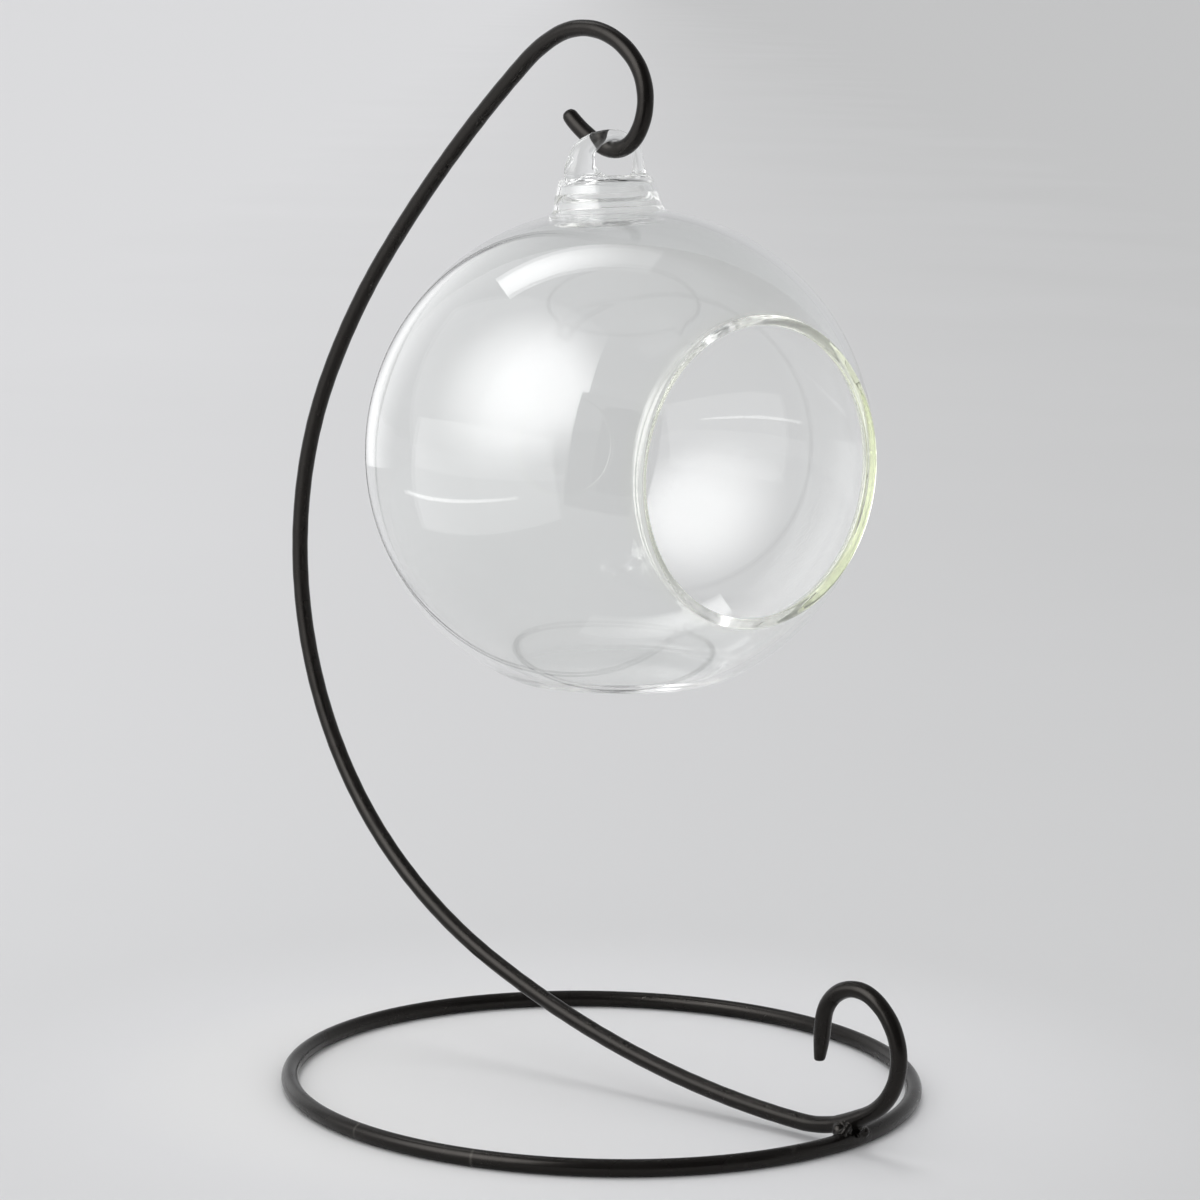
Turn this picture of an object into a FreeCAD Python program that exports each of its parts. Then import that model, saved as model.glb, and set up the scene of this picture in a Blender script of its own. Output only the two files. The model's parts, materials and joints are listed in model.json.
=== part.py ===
import FreeCAD, Part
import math
import os
import Sketcher

# Air plant holder: a clear blown globe with a side mouth, hanging by its drawn eye from the hook of a
# bent rod stand. Millimetres, Z up. The origin lies on the floor at the centre of the base ring, the
# arm's bends all lie in the plane of X and Z, and the arm is welded on at the ring's +X side.

# Driving sizes, in the order in which the object is put together
SIZES = {
    # round rod, the same for the ring and the arm
    "rod_diameter": 4.0,
    # base ring, measured to the middle of its rod
    "ring_radius": 74.7,
    "ring_end_gap": 1.0,
    # where the arm lies on the ring: its slope there and the gap that the weld fills
    "seat_angle": 22.16,
    "weld_root_gap": 0.04,
    # bends of the arm from the hook's tail to the seat, each a radius and the angle that it turns
    "tail_radius": 31.9,
    "tail_angle": 7.5,
    "cup_radius": 8.3,
    "cup_angle": 76.9,
    "nose_radius": 14.1,
    "nose_angle": 76.0,
    "crown_radius": 20.35,
    "crown_angle": 74.5,
    "shoulder_radius": 40.6,
    "shoulder_angle": 15.8,
    "flank_radius": 349.0,
    "flank_angle": 10.9,
    "upper_radius": 167.7,
    "upper_angle": 12.6,
    "belly_radius": 100.6,
    "belly_angle": 74.5,
    "lower_radius": 123.7,
    "lower_angle": 16.5,
    "run_radius": 261.6,
    "run_angle": 21.9,
    "heel_radius": 32.7,
    "heel_angle": 23.8,
    # bends of the arm from the seat to the curl's end
    "toe_radius": 52.8,
    "toe_angle": 8.2,
    "rise_radius": 15.6,
    "rise_angle": 118.8,
    "curl_radius": 9.3,
    "curl_angle": 113.2,
    "drop_radius": 44.6,
    "drop_angle": 8.0,
    # forged ends of the rod: the hook's rounded tip and the curl's flat end
    "tip_length": 8.5,
    "tip_radius": 1.4,
    "end_length": 4.6,
    "end_radius": 1.75,
    # weld beads, one on each side of the arm
    "bead_half_length": 4.6,
    "bead_half_width": 2.1,
    "bead_half_height": 2.0,
    "bead_offset": 2.2,
    # blown globe: the side is an arc swung round a little off the axis, so the globe is slightly flat
    "side_radius": 57.5,
    "side_swing_radius": 2.1,
    "glass_wall": 1.9,
    "foot_cut_height": 4.5,
    "foot_thickness": 3.0,
    "foot_rounding": 6.0,
    "foot_inner_rounding": 9.0,
    # neck, a short hollow cone closed by a flat shoulder
    "neck_base_radius": 12.8,
    "neck_top_radius": 10.2,
    "neck_height": 8.1,
    "shoulder_thickness": 2.4,
    "neck_root_rounding": 3.0,
    "shoulder_rounding": 1.2,
    "ceiling_rounding": 3.5,
    "inner_root_rounding": 2.5,
    # side mouth and its melted rim
    "mouth_radius": 34.0,
    "rim_radius": 1.25,
    "rim_stand": 0.85,
    "rim_flare": 0.3,
    "rim_inner_rounding": 0.8,
    # eye: a strand drawn up from the shoulder, over the hook and down to a seal on the far side
    "eye_inner_height": 8.1,
    "eye_wire_clearance": 0.15,
    "eye_strand_radius": 1.35,
    "eye_leg_radius": 2.2,
    "eye_root_radius": 3.2,
    "eye_seal_radius": 1.9,
    "eye_near_reach": 7.8,
    "eye_far_reach": 6.0,
    "eye_spring_height": 3.6,
    "eye_root_sink": 1.2,
    # how the globe hangs: twisted and tipped on the hook, its neck set askew on the globe, the eye turned on it
    "hang_twist_angle": 10.7,
    "hang_tip_angle": 5.9,
    "body_set_angle": 4.5,
    "eye_turn_angle": 14.3,
    "eye_shift": 2.8,
}

# The eye's strand is drawn through sections, evenly turned over its arch
ARCH_STEPS = 8
LEG_HEIGHT_SHARE = 0.45
LEG_SWELL_SHARE = 1.22

BENDS_TO_SEAT = ("tail", "cup", "nose", "crown", "shoulder", "flank", "upper", "belly", "lower", "run", "heel")
BENDS_FROM_SEAT = ("toe", "rise", "curl", "drop")

# Two places closer than this are the same place
SAME_PLACE = SIZES["rod_diameter"] / 4000

doc = FreeCAD.newDocument("air_plant_holder")
sheet = doc.addObject("Spreadsheet::Sheet", "Sizes")
cell_count = 0


def set_cell(name, content):
    """One cell of the sheet under its own name: a plain number, or a formula of the cells before it."""
    global cell_count
    cell_count += 1
    sheet.set("A%d" % cell_count, name)
    sheet.set("B%d" % cell_count, str(content))
    sheet.setAlias("B%d" % cell_count, name)


def size(name):
    return float(sheet.get(name))


for name, value in SIZES.items():
    set_cell(name, value)

# The arm touches the ring along the line between the two rods' middles, square to the arm's slope
set_cell("zero", 0)
set_cell("rod_radius", "=rod_diameter / 2")
set_cell("seat_lift", "=rod_diameter + weld_root_gap")
set_cell("heel_end_heading", "=seat_angle")
set_cell("heel_end_x", "=ring_radius - seat_lift * sin(seat_angle)")
set_cell("heel_end_z", "=rod_radius + seat_lift * cos(seat_angle)")


def set_bend_before(name, following):
    """Start and centre of a bend that ends where the following one starts; all bends turn left."""
    if name != "heel":
        set_cell(name + "_end_heading", "=%s_start_heading" % following)
        set_cell(name + "_end_x", "=%s_start_x" % following)
        set_cell(name + "_end_z", "=%s_start_z" % following)
    set_cell(name + "_start_heading", "=%s_end_heading - %s_angle" % (name, name))
    set_cell(name + "_centre_x", "=%s_end_x - %s_radius * sin(%s_end_heading)" % (name, name, name))
    set_cell(name + "_centre_z", "=%s_end_z + %s_radius * cos(%s_end_heading)" % (name, name, name))
    set_cell(name + "_start_x", "=%s_centre_x + %s_radius * sin(%s_start_heading)" % (name, name, name))
    set_cell(name + "_start_z", "=%s_centre_z - %s_radius * cos(%s_start_heading)" % (name, name, name))


def set_bend_after(name, before):
    """End and centre of a bend that starts where the one before it ends."""
    set_cell(name + "_start_heading", "=%s_end_heading" % before)
    set_cell(name + "_end_heading", "=%s_start_heading + %s_angle" % (name, name))
    set_cell(name + "_centre_x", "=%s_end_x - %s_radius * sin(%s_start_heading)" % (before, name, name))
    set_cell(name + "_centre_z", "=%s_end_z + %s_radius * cos(%s_start_heading)" % (before, name, name))
    set_cell(name + "_end_x", "=%s_centre_x + %s_radius * sin(%s_end_heading)" % (name, name, name))
    set_cell(name + "_end_z", "=%s_centre_z - %s_radius * cos(%s_end_heading)" % (name, name, name))


following = None
for name in reversed(BENDS_TO_SEAT):
    set_bend_before(name, following)
    following = name
before = "heel"
for name in BENDS_FROM_SEAT:
    set_bend_after(name, before)
    before = name

# Lowest point of the hook's cup, on the rod's middle, and the top of the rod there
set_cell("hang_x", "=cup_centre_x")
set_cell("wire_z", "=cup_centre_z - cup_radius")
set_cell("hang_z", "=wire_z + rod_radius")

# Globe, measured from its own middle
set_cell("inner_radius", "=side_radius - glass_wall")
set_cell("foot_depth", "=side_radius - foot_cut_height")
set_cell("foot_radius", "=side_swing_radius + sqrt(side_radius * side_radius - foot_depth * foot_depth)")
set_cell("inner_foot_drop", "=foot_depth - foot_thickness")
set_cell("inner_foot_radius", "=side_swing_radius + sqrt(inner_radius * inner_radius - inner_foot_drop * inner_foot_drop)")
set_cell("neck_reach", "=neck_base_radius - side_swing_radius")
set_cell("foot_z", "=-foot_depth")
set_cell("floor_z", "=foot_thickness - foot_depth")
set_cell("pole_z", "=sqrt(side_radius * side_radius - side_swing_radius * side_swing_radius)")
set_cell("inner_pole_z", "=sqrt(inner_radius * inner_radius - side_swing_radius * side_swing_radius)")
set_cell("neck_base_z", "=sqrt(side_radius * side_radius - neck_reach * neck_reach)")
set_cell("neck_start_z", "=neck_base_z - 2 * glass_wall")
set_cell("shoulder_height", "=neck_base_z + neck_height")
set_cell("neck_taper", "=(neck_base_radius - neck_top_radius) / (shoulder_height - neck_base_z)")
set_cell("neck_start_radius", "=neck_base_radius + neck_taper * (neck_base_z - neck_start_z)")
set_cell("inner_neck_start_radius", "=neck_start_radius - glass_wall")
set_cell("inner_neck_base_radius", "=neck_base_radius - glass_wall")
set_cell("inner_neck_top_radius", "=neck_top_radius - glass_wall")
set_cell("ceiling_z", "=shoulder_height - shoulder_thickness")
set_cell("side_reach", "=side_swing_radius + side_radius")
set_cell("rim_side_x", "=sqrt(side_reach * side_reach - mouth_radius * mouth_radius)")
set_cell("rim_top_x", "=side_swing_radius + sqrt(side_radius * side_radius - mouth_radius * mouth_radius)")
set_cell("rim_x", "=(rim_side_x + rim_top_x) / 2 + rim_stand")
set_cell("rim_middle_radius", "=mouth_radius + rim_flare")

# The globe's middle hangs this far under the hook, along the neck
set_cell("hang_height", "=shoulder_height + eye_inner_height")
set_cell("eye_crown_z", "=eye_inner_height + eye_wire_clearance + eye_strand_radius")
set_cell("eye_rise", "=eye_crown_z - eye_spring_height")
doc.recompute()

HANGING = ("placement(vector(Sizes.hang_x; 0; Sizes.hang_z); rotation(-Sizes.hang_twist_angle; -Sizes.hang_tip_angle; 0))"
           " * placement(vector(%s; 0; -Sizes.%s); rotation(0; 0; 0))")


def new_body(label):
    body = doc.addObject("PartDesign::Body", label)
    body.Label = label
    return body


def new_sketch(body, name, role, offset=None):
    """A sketch on one of the body's own origin planes, shifted and turned in it by a formula."""
    sketch = body.newObject("Sketcher::SketchObject", name)
    plane = next(feature for feature in body.Origin.OriginFeatures if feature.Role == role)
    sketch.AttachmentSupport = (plane, [""])
    sketch.MapMode = "FlatFace"
    if offset:
        sketch.setExpression("AttachmentOffset", offset)
    return sketch


def bind(sketch, constraint, name, formula):
    index = sketch.addConstraint(constraint)
    sketch.renameConstraint(index, name)
    sketch.setExpression("Constraints." + name, formula)


def bind_point(sketch, piece, end, name, x_cell, y_cell):
    """Ties a point of the sketch to two cells, or to an axis where the cell is None."""
    if x_cell is None:
        sketch.addConstraint(Sketcher.Constraint("PointOnObject", piece, end, -2))
    else:
        bind(sketch, Sketcher.Constraint("DistanceX", -1, 1, piece, end, size(x_cell)), name + "_x", "Sizes." + x_cell)
    if y_cell is None:
        sketch.addConstraint(Sketcher.Constraint("PointOnObject", piece, end, -1))
    else:
        bind(sketch, Sketcher.Constraint("DistanceY", -1, 1, piece, end, size(y_cell)), name + "_y", "Sizes." + y_cell)


def corner(x_cell, y_cell):
    return FreeCAD.Vector(size(x_cell) if x_cell else 0, size(y_cell) if y_cell else 0, 0)


def closed_outline(sketch, corners, arcs=None):
    """Straight edges between corners given as pairs of cells; arcs maps an edge to its centre's cells."""
    arcs = arcs or {}
    first_ends = []
    for index, place in enumerate(corners):
        start = corner(*place)
        end = corner(*corners[(index + 1) % len(corners)])
        first_ends.append(1)
        if index in arcs:
            centre = corner(*arcs[index])
            spoke = start - centre
            circle = Part.Circle(centre, FreeCAD.Vector(0, 0, 1), spoke.Length)
            turns = [math.atan2(point.y - centre.y, point.x - centre.x) for point in (start, end)]
            if spoke.cross(end - centre).z < 0:
                turns.reverse()
                first_ends[index] = 2
            sketch.addGeometry(Part.ArcOfCircle(circle, *turns), False)
        else:
            sketch.addGeometry(Part.LineSegment(start, end), False)
    for index, place in enumerate(corners):
        after = (index + 1) % len(corners)
        sketch.addConstraint(Sketcher.Constraint("Coincident", index, 3 - first_ends[index], after, first_ends[after]))
        bind_point(sketch, index, first_ends[index], "corner_%d" % index, *place)
        if index in arcs:
            centre_y = arcs[index][1]
            if centre_y is None:
                sketch.addConstraint(Sketcher.Constraint("PointOnObject", index, 3, -1))
            else:
                bind(sketch, Sketcher.Constraint("DistanceY", -1, 1, index, 3, size(centre_y)),
                     "centre_%d" % index, "Sizes." + centre_y)


def round_edges(body, name, feature, radius_cell, places):
    """Rounds the circular edges of the given radii at the given distances from the globe's middle."""
    edges = []
    for radius_name, z_name in places:
        for index, edge in enumerate(feature.Shape.Edges, 1):
            if edge.Degenerated or not isinstance(edge.Curve, Part.Circle):
                continue
            rim = edge.Curve
            right_radius = abs(rim.Radius - size(radius_name)) < SAME_PLACE
            if right_radius and abs(rim.Center.Length - abs(size(z_name))) < SAME_PLACE:
                edges.append("Edge%d" % index)
    if len(edges) != len(places):
        raise ValueError("%s finds %d edges of %d" % (name, len(edges), len(places)))
    rounding = body.newObject("PartDesign::Fillet", name)
    rounding.Base = (feature, edges)
    rounding.setExpression("Radius", "Sizes." + radius_cell)
    doc.recompute()
    return rounding


def revolve(body, sketch, name, axis, kind="PartDesign::Revolution", angle="360"):
    feature = body.newObject(kind, name)
    feature.Profile = sketch
    feature.ReferenceAxis = (sketch, [axis])
    feature.setExpression("Angle", angle)
    sketch.Visibility = False
    return feature


def make_base_ring():
    """The rod bent to a ring. Its ends nearly meet under the arm, where the weld closes the gap."""
    body = new_body("base_ring")
    section = new_sketch(body, "ring_section", "XZ_Plane")
    middle = FreeCAD.Vector(-size("ring_radius"), size("rod_radius"), 0)
    section.addGeometry(Part.Circle(middle, FreeCAD.Vector(0, 0, 1), size("rod_radius")), False)
    bind(section, Sketcher.Constraint("DistanceX", 0, 3, -1, 1, size("ring_radius")), "reach", "Sizes.ring_radius")
    bind(section, Sketcher.Constraint("DistanceY", -1, 1, 0, 3, size("rod_radius")), "lift", "Sizes.rod_radius")
    bind(section, Sketcher.Constraint("Radius", 0, size("rod_radius")), "rod", "Sizes.rod_radius")
    ring = revolve(body, section, "ring_rod", "V_Axis", angle="360 - Sizes.ring_end_gap / Sizes.ring_radius * 180 / pi")
    ring.Midplane = True
    return body


def make_hanger_arm():
    """One rod: the hook with its tail, the long sweep down to the ring, and the small curl that ends it."""
    body = new_body("hanger_arm")
    path = new_sketch(body, "arm_path", "XZ_Plane")
    bends = BENDS_TO_SEAT + BENDS_FROM_SEAT
    for name in bends:
        centre = corner(name + "_centre_x", name + "_centre_z")
        circle = Part.Circle(centre, FreeCAD.Vector(0, 0, 1), size(name + "_radius"))
        start = math.radians(size(name + "_start_heading") - 90)
        end = math.radians(size(name + "_end_heading") - 90)
        path.addGeometry(Part.ArcOfCircle(circle, start, end), False)
    for index, name in enumerate(bends):
        radius = Sketcher.Constraint("Radius", index, size(name + "_radius"))
        bind(path, radius, name + "_radius", "Sizes.%s_radius" % name)
        turn = Sketcher.Constraint("Angle", index, math.radians(size(name + "_angle")))
        bind(path, turn, name + "_angle", "Sizes.%s_angle * 1 deg" % name)
        if index:
            path.addConstraint(Sketcher.Constraint("Tangent", index - 1, 2, index, 1))
    seat = bends.index("heel")
    bind_point(path, seat, 3, "heel_centre", "heel_centre_x", "heel_centre_z")
    bind(path, Sketcher.Constraint("DistanceX", -1, 1, seat, 2, size("heel_end_x")), "seat_x", "Sizes.heel_end_x")

    section = body.newObject("Sketcher::SketchObject", "arm_section")
    section.AttachmentSupport = (path, ["Edge1"])
    section.MapMode = "NormalToEdge"
    section.addGeometry(Part.Circle(FreeCAD.Vector(0, 0, 0), FreeCAD.Vector(0, 0, 1), size("rod_radius")), False)
    section.addConstraint(Sketcher.Constraint("Coincident", 0, 3, -1, 1))
    bind(section, Sketcher.Constraint("Radius", 0, size("rod_radius")), "rod", "Sizes.rod_radius")
    doc.recompute()
    rod = body.newObject("PartDesign::AdditivePipe", "arm_rod")
    rod.Profile = section
    rod.Spine = (path, ["Edge%d" % (index + 1) for index in range(len(bends))])
    doc.recompute()
    return body


def forge_end(body, name, heading, x_cell, z_cell, length_cell, radius_cell, rounded):
    """A tapered end turned about the rod's own line: a rounded tip, or a flat cut end."""
    place = ("placement(vector(Sizes.%s; Sizes.%s; 0); rotation(vector(0; 0; 1); %s))"
             % (x_cell, z_cell, heading))
    outline = new_sketch(body, name + "_outline", "XZ_Plane", place)
    if rounded:
        set_cell(name + "_tip_reach", "=%s + %s" % (length_cell, radius_cell))
        doc.recompute()
        corners = [(None, None), (name + "_tip_reach", None), (length_cell, radius_cell), (None, "rod_radius")]
        closed_outline(outline, corners, {1: (length_cell, None)})
    else:
        corners = [(None, None), (length_cell, None), (length_cell, radius_cell), (None, "rod_radius")]
        closed_outline(outline, corners)
    return revolve(body, outline, name, "H_Axis")


base_ring = make_base_ring()
hanger_arm = make_hanger_arm()
forge_end(hanger_arm, "hook_tip", "Sizes.tail_start_heading + 180", "tail_start_x", "tail_start_z",
          "tip_length", "tip_radius", True)
forge_end(hanger_arm, "curl_end", "Sizes.drop_end_heading", "drop_end_x", "drop_end_z",
          "end_length", "end_radius", False)
doc.recompute()


def make_weld_bead(label, side):
    """A bead of weld in the corner between the arm's side and the ring, cut to lie on both rods."""
    bead = doc.addObject("Part::Ellipsoid", label + "_lump")
    bead.setExpression("Radius1", "Sizes.bead_half_height")
    bead.setExpression("Radius2", "Sizes.bead_half_length")
    bead.setExpression("Radius3", "Sizes.bead_half_width")
    bead.setExpression("Placement", "placement(vector(Sizes.heel_end_x; %d * Sizes.bead_offset;"
                       " Sizes.rod_diameter); rotation(0; 0; 0))" % side)
    over_ring = doc.addObject("Part::Cut", label + "_over_ring")
    over_ring.Base = bead
    over_ring.Tool = base_ring
    cut = doc.addObject("Part::Cut", label)
    cut.Base = over_ring
    cut.Tool = hanger_arm
    cut.Label = label
    return cut


weld_bead_front = make_weld_bead("weld_bead_front", -1)
weld_bead_back = make_weld_bead("weld_bead_back", 1)


def round_free_edges(body, name, feature, radius_cell, is_wanted):
    """Rounds the wanted edges among those where two forms meet askew, which are no plain circles."""
    edges = []
    for index, edge in enumerate(feature.Shape.Edges, 1):
        if not edge.Degenerated and isinstance(edge.Curve, Part.BSplineCurve) and is_wanted(edge):
            edges.append("Edge%d" % index)
    rounding = body.newObject("PartDesign::Fillet", name)
    rounding.Base = (feature, edges)
    rounding.setExpression("Radius", "Sizes." + radius_cell)
    doc.recompute()
    return rounding


def lies_round_neck(edge, radius_cell):
    """Whether the edge closes round the neck's line at about that radius."""
    box = edge.BoundBox
    if box.Center.z < 0 or math.hypot(box.Center.x, box.Center.y) > size("glass_wall"):
        return False
    return abs(box.XLength / 2 - size(radius_cell)) < size("glass_wall") / 2


def is_neck_root(edge):
    return lies_round_neck(edge, "neck_base_radius")


def is_inner_root(edge):
    return lies_round_neck(edge, "inner_neck_base_radius")


def is_inner_mouth(edge):
    """Whether the edge lies where the mouth cuts the inner face of the wall."""
    corner_point = edge.Vertexes[0].Point
    turn = math.radians(size("body_set_angle"))
    mouth_line = FreeCAD.Vector(math.cos(turn), 0, -math.sin(turn))
    on_cut = abs(corner_point.cross(mouth_line).Length - size("mouth_radius")) < SAME_PLACE
    return on_cut and corner_point.Length < size("side_reach") - size("glass_wall") / 2


def make_glass_globe():
    """Globe, foot and neck blown as one wall, with the mouth cut in its side and the cut edge melted round."""
    body = new_body("glass_globe")
    set_down = "placement(vector(0; 0; 0); rotation(vector(0; 0; 1); -Sizes.body_set_angle))"
    outside = new_sketch(body, "outside", "XZ_Plane", set_down)
    closed_outline(outside, [(None, "foot_z"), ("foot_radius", "foot_z"), (None, "pole_z")], {1: ("side_swing_radius", None)})
    blown = revolve(body, outside, "blown_form", "V_Axis")
    doc.recompute()
    foot = round_edges(body, "foot_edge", blown, "foot_rounding", [("foot_radius", "foot_z")])
    neck_outside = new_sketch(body, "neck_outside", "XZ_Plane")
    corners = [(None, "neck_start_z"), ("neck_start_radius", "neck_start_z"),
               ("neck_top_radius", "shoulder_height"), (None, "shoulder_height")]
    closed_outline(neck_outside, corners)
    neck = revolve(body, neck_outside, "neck", "V_Axis")
    doc.recompute()
    root = round_free_edges(body, "neck_root", neck, "neck_root_rounding", is_neck_root)
    round_edges(body, "shoulder_edge", root, "shoulder_rounding", [("neck_top_radius", "shoulder_height")])

    inside = new_sketch(body, "inside", "XZ_Plane", set_down)
    corners = [(None, "floor_z"), ("inner_foot_radius", "floor_z"), (None, "inner_pole_z")]
    closed_outline(inside, corners, {1: ("side_swing_radius", None)})
    hollow = revolve(body, inside, "hollow", "V_Axis", "PartDesign::Groove")
    doc.recompute()
    round_edges(body, "inner_foot", hollow, "foot_inner_rounding", [("inner_foot_radius", "floor_z")])
    neck_inside = new_sketch(body, "neck_inside", "XZ_Plane")
    corners = [(None, "neck_start_z"), ("inner_neck_start_radius", "neck_start_z"),
               ("inner_neck_top_radius", "ceiling_z"), (None, "ceiling_z")]
    closed_outline(neck_inside, corners)
    neck_hollow = revolve(body, neck_inside, "neck_hollow", "V_Axis", "PartDesign::Groove")
    doc.recompute()
    ceiling = round_edges(body, "ceiling_edge", neck_hollow, "ceiling_rounding", [("inner_neck_top_radius", "ceiling_z")])
    round_free_edges(body, "inner_root", ceiling, "inner_root_rounding", is_inner_root)

    set_down = "placement(vector(0; 0; 0); rotation(vector(1; 0; 0); Sizes.body_set_angle))"
    opening = new_sketch(body, "mouth_circle", "YZ_Plane", set_down)
    opening.addGeometry(Part.Circle(FreeCAD.Vector(), FreeCAD.Vector(0, 0, 1), size("mouth_radius")), False)
    opening.addConstraint(Sketcher.Constraint("Coincident", 0, 3, -1, 1))
    bind(opening, Sketcher.Constraint("Radius", 0, size("mouth_radius")), "mouth", "Sizes.mouth_radius")
    mouth = body.newObject("PartDesign::Pocket", "mouth")
    mouth.Profile = opening
    mouth.Reversed = True
    mouth.Type = "ThroughAll"
    doc.recompute()
    round_free_edges(body, "mouth_edge", mouth, "rim_inner_rounding", is_inner_mouth)

    set_down = "placement(vector(0; 0; 0); rotation(vector(0; 0; 1); -Sizes.body_set_angle))"
    bead = new_sketch(body, "rim_section", "XZ_Plane", set_down)
    middle = corner("rim_x", "rim_middle_radius")
    bead.addGeometry(Part.Circle(middle, FreeCAD.Vector(0, 0, 1), size("rim_radius")), False)
    bind_point(bead, 0, 3, "rim_middle", "rim_x", "rim_middle_radius")
    bind(bead, Sketcher.Constraint("Radius", 0, size("rim_radius")), "rim", "Sizes.rim_radius")
    revolve(body, bead, "melted_rim", "H_Axis")
    body.setExpression("Placement", HANGING % ("-Sizes.eye_shift", "hang_height"))
    doc.recompute()
    return body


glass_globe = make_glass_globe()


def eye_section(name, side_formula, height_formula, radius_formula, lean):
    """One round section of the eye's strand, in the plane square to the hook, leaning with the strand."""
    circle = doc.addObject("Part::Circle", name)
    circle.setExpression("Radius", radius_formula)
    hung = HANGING % ("0", "eye_inner_height")
    turned = " * placement(vector(0; 0; 0); rotation(vector(0; 0; 1); -Sizes.eye_turn_angle))"
    own_place = " * placement(vector(0; %s; %s); rotation(vector(1; 0; 0); %s))" % (side_formula, height_formula, lean)
    circle.setExpression("Placement", hung + turned + own_place)
    circle.Visibility = False
    return circle


def make_hanging_eye():
    """A strand of glass drawn up from the shoulder's near side, over the hook, and sealed on the far side."""
    sections = [
        eye_section("eye_root", "-Sizes.eye_near_reach", "-Sizes.eye_root_sink", "Sizes.eye_root_radius", "0"),
        eye_section("eye_leg", "-Sizes.eye_near_reach", "Sizes.eye_spring_height * %g" % LEG_HEIGHT_SHARE,
                    "Sizes.eye_leg_radius * %g" % LEG_SWELL_SHARE, "0"),
    ]
    for step in range(ARCH_STEPS + 1):
        angle = 180 - 180 * step / ARCH_STEPS
        reach = "Sizes.eye_near_reach" if angle > 90 else "Sizes.eye_far_reach"
        side = "%s * cos(%g)" % (reach, angle)
        height = "Sizes.eye_spring_height + Sizes.eye_rise * sin(%g)" % angle
        swell = "(Sizes.eye_leg_radius - Sizes.eye_strand_radius) * max(0; -cos(%g))" % angle
        lean = "-atan2(%s * sin(%g); -Sizes.eye_rise * cos(%g))" % (reach, angle, angle)
        sections.append(eye_section("eye_arch_%d" % step, side, height, "Sizes.eye_strand_radius + " + swell, lean))
    sections.append(eye_section("eye_seal", "Sizes.eye_far_reach", "-Sizes.eye_root_sink / 2",
                                "Sizes.eye_seal_radius", "180"))
    strand = doc.addObject("Part::Loft", "eye_strand")
    strand.Sections = sections
    strand.Solid = True
    strand.Ruled = False
    eye = doc.addObject("Part::Cut", "hanging_eye")
    eye.Base = strand
    eye.Tool = glass_globe
    eye.Label = "hanging_eye"
    doc.recompute()
    return eye


hanging_eye = make_hanging_eye()

parts = (base_ring, hanger_arm, weld_bead_front, weld_bead_back, glass_globe, hanging_eye)
doc.recompute()
for item in doc.Objects:
    if "Invalid" in item.State or "Error" in item.State:
        raise RuntimeError("%s is %s" % (item.Name, item.State))
for part in parts:
    if part.Shape.isNull() or not part.Shape.isValid():
        raise RuntimeError("%s has no valid shape" % part.Label)
    if len(part.Shape.Solids) != 1:
        raise RuntimeError("%s has %d solids" % (part.Label, len(part.Shape.Solids)))

os.makedirs("parts", exist_ok=True)
for part in parts:
    part.Shape.exportStep("parts/%s.step" % part.Label)
    print(part.Label, "volume", round(part.Shape.Volume, 2))
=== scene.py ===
import bmesh
import bpy
import json
import math
from mathutils import Matrix, Vector


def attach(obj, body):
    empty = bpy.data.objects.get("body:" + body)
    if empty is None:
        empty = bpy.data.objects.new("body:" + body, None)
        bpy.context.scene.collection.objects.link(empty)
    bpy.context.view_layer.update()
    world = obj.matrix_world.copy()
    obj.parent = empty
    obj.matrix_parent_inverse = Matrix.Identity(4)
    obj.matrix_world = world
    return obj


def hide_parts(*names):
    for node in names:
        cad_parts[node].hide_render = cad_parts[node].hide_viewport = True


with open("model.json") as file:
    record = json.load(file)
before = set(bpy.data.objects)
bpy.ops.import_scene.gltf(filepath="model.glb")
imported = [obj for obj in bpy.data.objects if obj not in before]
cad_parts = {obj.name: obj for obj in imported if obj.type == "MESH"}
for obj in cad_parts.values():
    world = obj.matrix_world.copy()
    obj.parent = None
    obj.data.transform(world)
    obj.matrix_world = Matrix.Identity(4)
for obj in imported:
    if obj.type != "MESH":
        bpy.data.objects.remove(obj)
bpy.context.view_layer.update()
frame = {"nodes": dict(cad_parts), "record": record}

# Base ring: a length of round steel rod bent to a circle, its ends butted under the arm, then painted
# satin black with the whole stand. Where it slides over shelves the paint is faintly rubbed.
MM = 0.001


def add_node(tree, kind, inputs=None, **settings):
    """One shader node; its inputs get a socket to link or a plain value, and so do the named settings."""
    node = tree.nodes.new(kind)
    for name, value in settings.items():
        if hasattr(node, name):
            setattr(node, name, value)
        else:
            node.inputs[name.replace("_", " ")].default_value = value
    for name, source in (inputs or {}).items():
        if isinstance(source, bpy.types.NodeSocket):
            tree.links.new(source, node.inputs[name])
        else:
            node.inputs[name].default_value = source
    return node


def reckon(tree, operation, *terms):
    """The result of a math node on its terms, each a socket or a plain number."""
    return add_node(tree, "ShaderNodeMath", dict(enumerate(terms)), operation=operation).outputs[0]


def reckon_vector(tree, operation, *terms):
    """The result of a vector math node on its terms: a number for a length or a dot product."""
    node = add_node(tree, "ShaderNodeVectorMath", dict(enumerate(terms)), operation=operation)
    return node.outputs["Value" if operation in ("LENGTH", "DOT_PRODUCT") else "Vector"]


def rescale(tree, value, low, high, first=0.0, last=1.0, kind="LINEAR"):
    """A number that runs from first to last while the value runs from low to high, and is level outside."""
    return add_node(tree, "ShaderNodeMapRange", {"Value": value}, interpolation_type=kind,
                    From_Min=low, From_Max=high, To_Min=first, To_Max=last).outputs[0]


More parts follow.
